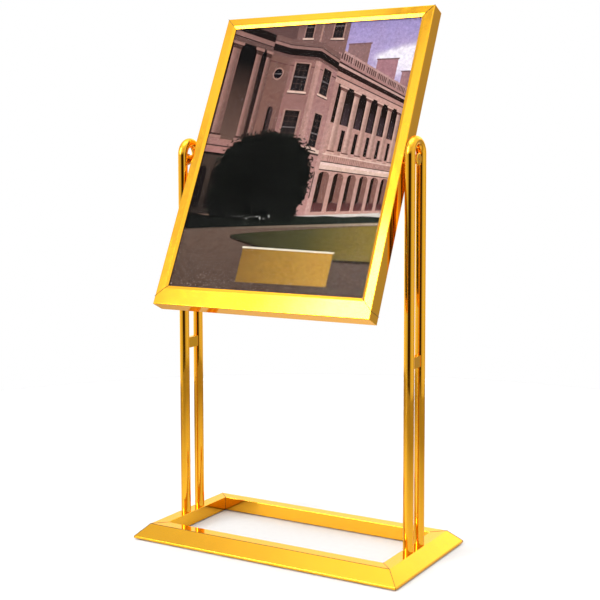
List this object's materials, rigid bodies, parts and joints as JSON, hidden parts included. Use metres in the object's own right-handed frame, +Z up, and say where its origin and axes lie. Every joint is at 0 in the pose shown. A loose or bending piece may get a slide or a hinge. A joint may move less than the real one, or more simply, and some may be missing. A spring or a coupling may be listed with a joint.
{
  "type": "sign stand",
  "caption": "Free-standing gold poster stand with a rectangular ring base, two hairpin tube uprights and a framed poster panel that tilts on pivots at its mid-height.",
  "frame": {"origin": "on the floor under the middle of the base", "axes": "+Z up, +Y to the back (the poster faces -Y and leans back), +X to the viewer's right when facing the poster"},
  "size_m": [0.735, 0.384, 1.3319],
  "materials": {
    "gold_mirror": "mirror-polished stainless steel with a titanium-gold coating",
    "zinc_steel": "bright zinc-plated steel",
    "rubber": "moulded black rubber",
    "nylon": "natural nylon",
    "clear_plastic": "clear polished plastic sheet",
    "poster_print": "semi-gloss printed paper",
    "board": "white foamed plastic board",
    "tray_paint": "fine black powder coat"
  },
  "bodies": {
    "stand": {"base_front": "gold_mirror", "base_back": "gold_mirror", "base_left": "gold_mirror", "base_right": "gold_mirror", "hairpin_left": "gold_mirror", "hairpin_right": "gold_mirror", "tie_plate_left": "gold_mirror", "tie_plate_right": "gold_mirror", "swivel_block_left": "gold_mirror", "swivel_block_right": "gold_mirror", "pivot_bush_left": "gold_mirror", "pivot_bush_right": "gold_mirror", "base_key_front_left": "zinc_steel", "base_key_front_right": "zinc_steel", "base_key_back_left": "zinc_steel", "base_key_back_right": "zinc_steel", "foot_screws": "zinc_steel", "leg_bolts": "zinc_steel", "leg_washers": "zinc_steel", "leg_plate_left": "zinc_steel", "leg_plate_right": "zinc_steel", "leg_plugs_left": "zinc_steel", "leg_plugs_right": "zinc_steel", "knob_washer_left": "zinc_steel", "knob_washer_right": "zinc_steel", "foot_front_left": "rubber", "foot_front_right": "rubber", "foot_back_left": "rubber", "foot_back_right": "rubber", "friction_washer_left": "nylon", "friction_washer_right": "nylon"},
    "panel": {"top_rail": "gold_mirror", "bottom_rail": "gold_mirror", "left_stile": "gold_mirror", "right_stile": "gold_mirror", "panel_key_screws": "zinc_steel", "turn_button_screws": "zinc_steel", "clear_cover": "clear_plastic", "poster_sheet": "poster_print", "backing_board": "board", "back_tray": "tray_paint", "pivot_insert_left": "zinc_steel", "pivot_insert_right": "zinc_steel", "panel_key_top_left": "zinc_steel", "panel_key_top_right": "zinc_steel", "panel_key_bottom_left": "zinc_steel", "panel_key_bottom_right": "zinc_steel"},
    "clamp_knob_left": {"clamp_knob_left": "gold_mirror", "pivot_bolt_left": "zinc_steel"},
    "clamp_knob_right": {"clamp_knob_right": "gold_mirror", "pivot_bolt_right": "zinc_steel"},
    "turn_button_upper_left": {"turn_button_upper_left": "zinc_steel"},
    "turn_button_upper_right": {"turn_button_upper_right": "zinc_steel"},
    "turn_button_lower_left": {"turn_button_lower_left": "zinc_steel"},
    "turn_button_lower_right": {"turn_button_lower_right": "zinc_steel"}
  },
  "joints": [
    {"name": "panel_tilt", "type": "hinge", "parent": "stand", "child": "panel", "pos_m": [0, 0, 0.96], "axis": [1, 0, 0], "continuous": true},
    {"name": "clamp_knob_left_turn", "type": "hinge", "parent": "stand", "child": "clamp_knob_left", "pos_m": [-0.329, 0, 0.96], "axis": [-1, 0, 0], "continuous": true},
    {"name": "clamp_knob_right_turn", "type": "hinge", "parent": "stand", "child": "clamp_knob_right", "pos_m": [0.329, 0, 0.96], "axis": [1, 0, 0], "continuous": true},
    {"name": "turn_button_upper_left_turn", "type": "hinge", "parent": "panel", "child": "turn_button_upper_left", "pos_m": [-0.291, 0.11871, 1.15824], "axis": [0, 0.9033, -0.4289], "range_deg": [-90, 90]},
    {"name": "turn_button_upper_right_turn", "type": "hinge", "parent": "panel", "child": "turn_button_upper_right", "pos_m": [0.291, 0.11871, 1.15824], "axis": [0, 0.9033, -0.4289], "range_deg": [-90, 90]},
    {"name": "turn_button_lower_left_turn", "type": "hinge", "parent": "panel", "child": "turn_button_lower_left", "pos_m": [-0.291, -0.0786, 0.74271], "axis": [0, 0.9033, -0.4289], "range_deg": [-90, 90]},
    {"name": "turn_button_lower_right_turn", "type": "hinge", "parent": "panel", "child": "turn_button_lower_right", "pos_m": [0.291, -0.0786, 0.74271], "axis": [0, 0.9033, -0.4289], "range_deg": [-90, 90]}
  ]
}
